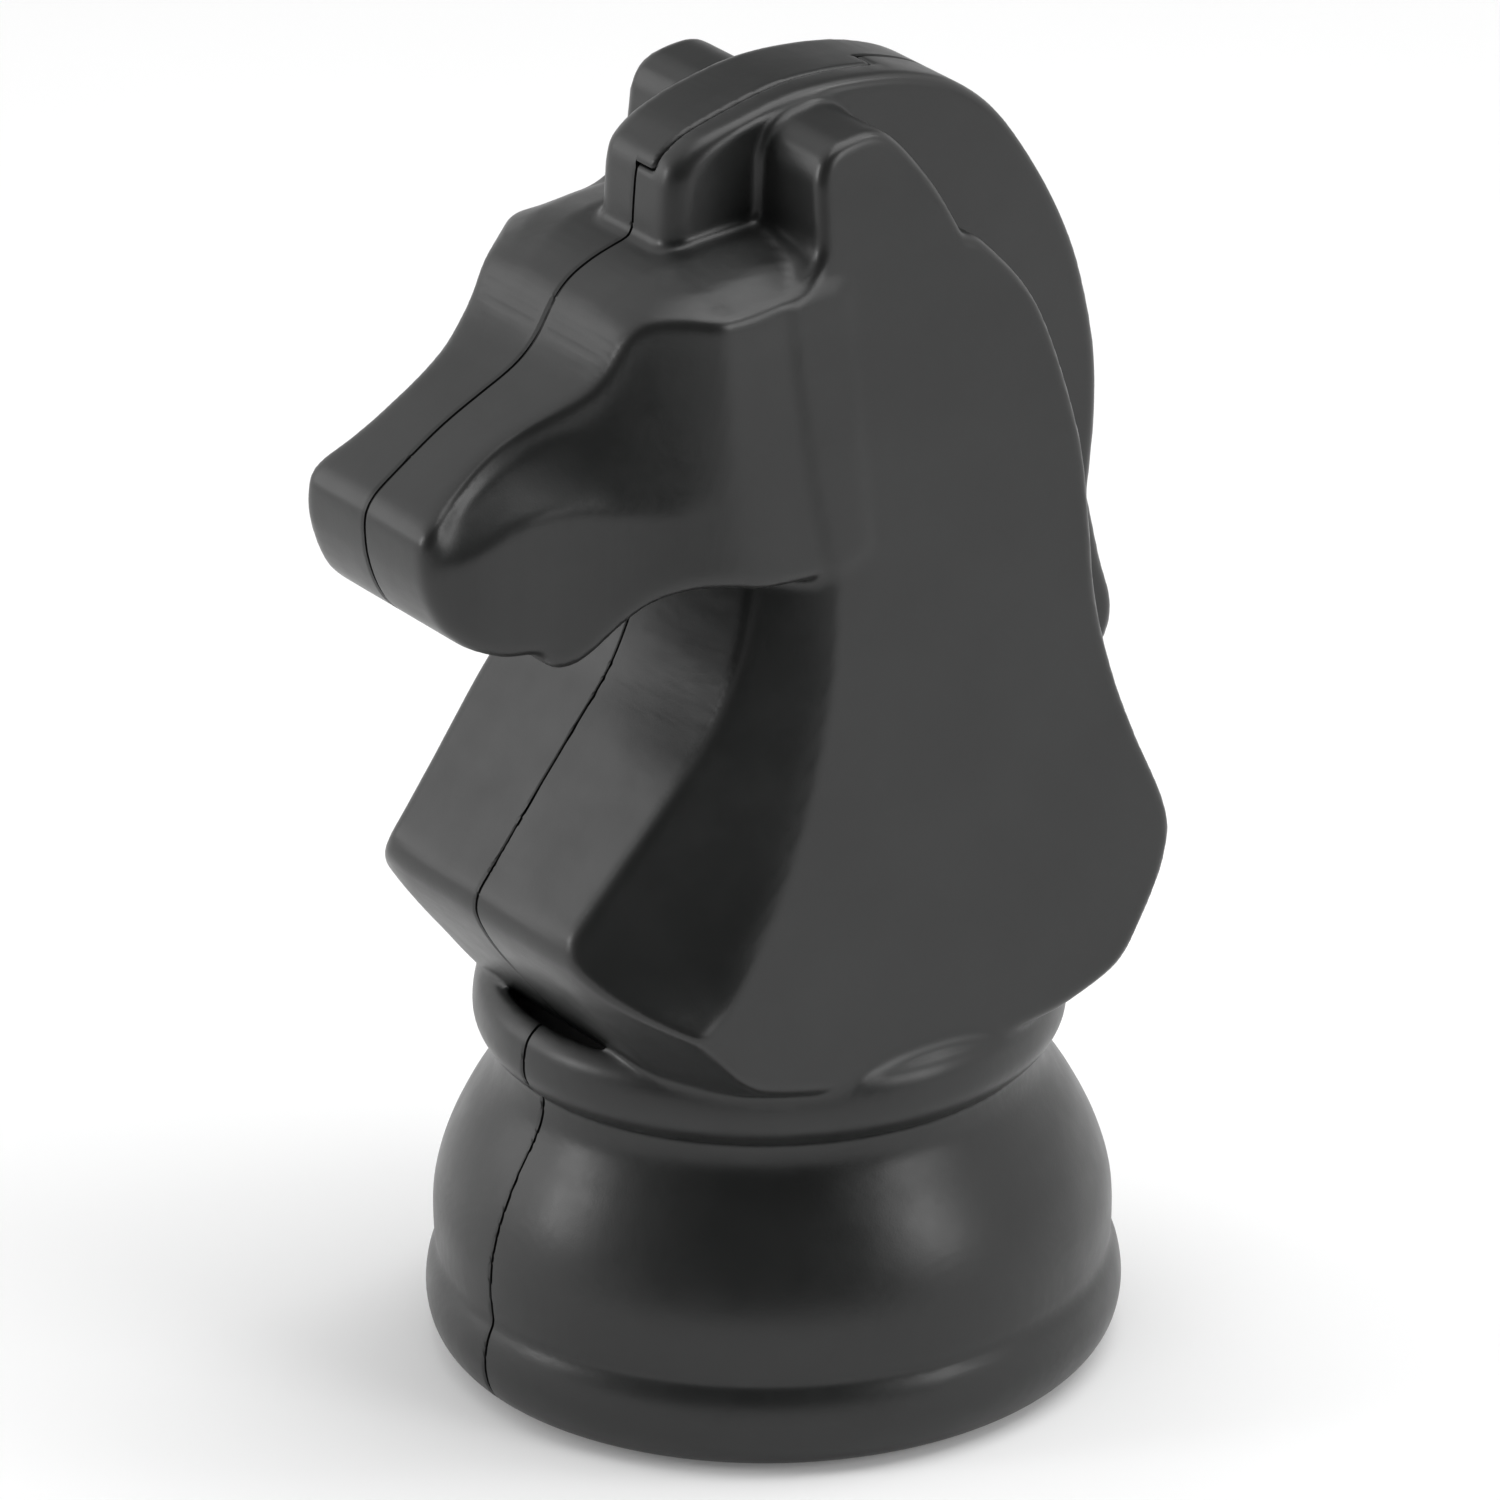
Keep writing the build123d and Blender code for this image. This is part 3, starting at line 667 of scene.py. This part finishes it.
def plastic(name, base, worn_and_highlight_colour, rough):
    """Satin moulded plastic: a fine grain, slow tint drift, and edges that rubbing leaves shinier and a
    painted highlight makes lighter.
    """
    material, tree, shader = node_tree(name, base, rough)
    wear_and_painted_highlight = tree.nodes.new("ShaderNodeAttribute")
    wear_and_painted_highlight.attribute_name = "edge_wear_and_painted_highlight"
    patches = spread(tree, noise(tree, 26.0, 3.0), 0.35, 0.65, 0.0, 1.0)
    tinted = mix_colour(tree, patches, base, tuple(c * 1.35 for c in base))
    # Sharply rounded edges get lower roughness from rubbing and a lighter colour that is a painted
    # highlight.
    rubbed_and_painted_highlight = spread(tree, wear_and_painted_highlight.outputs["Fac"], 0.25, 1.0, 0.0, 0.75)
    colour = mix_colour(tree, rubbed_and_painted_highlight, tinted, worn_and_highlight_colour)
    tree.links.new(colour, shader.inputs["Base Color"])
    blotches = spread(tree, noise(tree, 60.0, 4.0), 0.3, 0.7, rough - 0.035, rough + 0.035)
    polished = tree.nodes.new("ShaderNodeMath")
    polished.operation = "MULTIPLY_ADD"
    polished.inputs[1].default_value = -0.05
    tree.links.new(rubbed_and_painted_highlight, polished.inputs[0])
    tree.links.new(blotches, polished.inputs[2])
    tree.links.new(polished.outputs[0], shader.inputs["Roughness"])
    grain = bump(tree, noise(tree, 1400.0, 2.0), 0.10, 0.0002)
    ripple = bump(tree, noise(tree, 95.0, 2.0), 0.10, 0.0008, grain)
    tree.links.new(ripple, shader.inputs["Normal"])
    return material


def rubber(name):
    """Dull black rubber with a dusty bloom."""
    material, tree, shader = node_tree(name, (0.004, 0.004, 0.004), 0.8)
    dust = spread(tree, noise(tree, 220.0, 4.0), 0.45, 0.75, 0.0, 1.0)
    colour = mix_colour(tree, dust, (0.003, 0.003, 0.003), (0.008, 0.008, 0.008))
    tree.links.new(colour, shader.inputs["Base Color"])
    tree.links.new(spread(tree, noise(tree, 300.0, 2.0), 0.3, 0.7, 0.7, 0.9), shader.inputs["Roughness"])
    tree.links.new(bump(tree, noise(tree, 2600.0, 2.0), 0.2, 0.0002), shader.inputs["Normal"])
    return material


def steel(name):
    """Zinc-plated steel with fine scratches and duller spots."""
    material, tree, shader = node_tree(name, (0.42, 0.43, 0.45), 0.35)
    shader.inputs["Metallic"].default_value = 1.0
    spots = spread(tree, noise(tree, 500.0, 3.0), 0.4, 0.7, 0.0, 1.0)
    colour = mix_colour(tree, spots, (0.46, 0.47, 0.49), (0.28, 0.28, 0.29))
    tree.links.new(colour, shader.inputs["Base Color"])
    tree.links.new(spread(tree, spots, 0.0, 1.0, 0.28, 0.5), shader.inputs["Roughness"])
    tree.links.new(bump(tree, noise(tree, 5000.0, 2.0), 0.15, 0.0001), shader.inputs["Normal"])
    return material


def paint_node(name, material):
    """Gives a CAD node that stays visible its finish."""
    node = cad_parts[name]
    node.data.materials.clear()
    node.data.materials.append(material)


def show(piece, material, slot_name, *nodes):
    """Dresses a sculpted piece that rides on the knight and stands in for the CAD nodes."""
    piece.data.materials.append(material)
    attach(piece, "knight")
    if nodes:
        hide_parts(*nodes)


def make_shells():
    """Both shell halves and the rubber strip between them."""
    outer = figure()
    wall = shell(outer)
    rebated = np.maximum(wall, -tongue_space(outer, TONGUE_PLAY))
    # The second colour is the lighter tone of the painted highlight on rounded edges.
    black = plastic("black_plastic", (0.0075, 0.0080, 0.0078), (0.015, 0.015, 0.0147), 0.35)
    show(shell_half("left_shell_skin", rebated, outer, False), black, "shell_plastic", "left_shell")
    show(shell_half("right_shell_skin", wall, outer, True), black, "shell_plastic", "right_shell")
    show(tongue(outer), black, "shell_plastic")
    show(strip(outer), rubber("strip_rubber"), "seal_rubber", "seam_gasket")


def paint_cad_nodes():
    """Finishes of the fittings that keep their CAD shape."""
    # The second colour is the lighter tone of the painted highlight on rounded edges.
    cover = plastic("cover_plastic", (0.010, 0.010, 0.010), (0.02, 0.02, 0.02), 0.5)
    plug = plastic("plug_plastic", (0.012, 0.012, 0.0125), (0.02, 0.02, 0.02), 0.42)
    black_rubber = rubber("seal_rubber")
    zinc = steel("fastener_steel")
    paint_node("base_plate", cover)
    paint_node("filler_plug", plug)
    for name in ("base_gasket", "filler_seal"):
        paint_node(name, black_rubber)
    for name in ("tie_bolts", "tie_nuts", "dowel_pins", "base_screws"):
        paint_node(name, zinc)


def place_camera():
    """The camera, aimed near the origin and rolled a little."""
    flat = math.cos(CAMERA_ELEVATION)
    away = Vector((
        flat * math.sin(CAMERA_AZIMUTH), -flat * math.cos(CAMERA_AZIMUTH), math.sin(CAMERA_ELEVATION)
    ))
    ahead = -away
    right = ahead.cross(Vector((0, 0, 1))).normalized()
    up = right.cross(ahead)
    ahead = (ahead + right * math.tan(CAMERA_AIM[0]) + up * math.tan(CAMERA_AIM[1])).normalized()
    right = ahead.cross(up).normalized()
    up = right.cross(ahead)
    turned_right = math.cos(CAMERA_ROLL) * right + math.sin(CAMERA_ROLL) * up
    turned_up = math.cos(CAMERA_ROLL) * up - math.sin(CAMERA_ROLL) * right
    data = bpy.data.cameras.new("camera")
    data.lens = CAMERA_LENS
    data.sensor_width = 36.0
    data.clip_start = 0.1
    data.clip_end = 100.0
    camera = bpy.data.objects.new("camera", data)
    bpy.context.scene.collection.objects.link(camera)
    axes = Matrix((turned_right, turned_up, -ahead)).transposed()
    camera.matrix_world = Matrix.Translation(away * CAMERA_DISTANCE) @ axes.to_4x4()
    bpy.context.scene.camera = camera


def softbox(name, place, aim, size, power):
    """A rectangular studio light."""
    data = bpy.data.lights.new(name, "AREA")
    data.shape = "RECTANGLE"
    data.size, data.size_y = size
    data.energy = power
    light = bpy.data.objects.new(name, data)
    light.location = place
    light.rotation_euler = (Vector(aim) - Vector(place)).to_track_quat("-Z", "Y").to_euler()
    bpy.context.scene.collection.objects.link(light)


def floor():
    """A plain pale floor, far larger than the object."""
    mesh = bpy.data.meshes.new("floor")
    corners = [(x * FLOOR_REACH, y * FLOOR_REACH, 0) for x, y in ((-1, -1), (1, -1), (1, 1), (-1, 1))]
    mesh.from_pydata(corners, [], [(0, 1, 2, 3)])
    obj = bpy.data.objects.new("floor", mesh)
    obj.location.z = -FLOOR_DROP
    bpy.context.scene.collection.objects.link(obj)
    material, tree, shader = node_tree("floor_paper", (0.86, 0.86, 0.86), 0.9)
    grey = mix_colour(tree, noise(tree, 3.0, 2.0), (0.85, 0.85, 0.85), (0.88, 0.88, 0.88))
    tree.links.new(grey, shader.inputs["Base Color"])
    tree.links.new(grey, shader.inputs["Emission Color"])
    shader.inputs["Emission Strength"].default_value = 0.13
    mesh.materials.append(material)


def sky():
    """A pale room that falls dark towards the viewer and, less so, on the far left."""
    world = bpy.data.worlds.new("room")
    bpy.context.scene.world = world
    world.use_nodes = True
    tree = world.node_tree
    place = tree.nodes.new("ShaderNodeTexCoord")
    levels = tree.nodes.new("ShaderNodeMath")
    levels.operation = "MULTIPLY"
    for socket, (direction, near, far, bright, dark) in zip(levels.inputs, DARK_WALLS):
        dot = tree.nodes.new("ShaderNodeVectorMath")
        dot.operation = "DOT_PRODUCT"
        dot.inputs[1].default_value = direction
        tree.links.new(place.outputs["Generated"], dot.inputs[0])
        tree.links.new(spread(tree, dot.outputs["Value"], near, far, bright, dark), socket)
    background = tree.nodes["Background"]
    tree.links.new(levels.outputs[0], background.inputs["Strength"])
    background.inputs["Color"].default_value = (1.0, 1.0, 1.0, 1.0)


def light_scene():
    """The floor, the room and the softboxes."""
    floor()
    sky()
    for box in SOFTBOXES:
        softbox(*box)


bpy.context.scene.view_settings.view_transform = "Standard"
place_camera()
make_shells()
paint_cad_nodes()
light_scene()
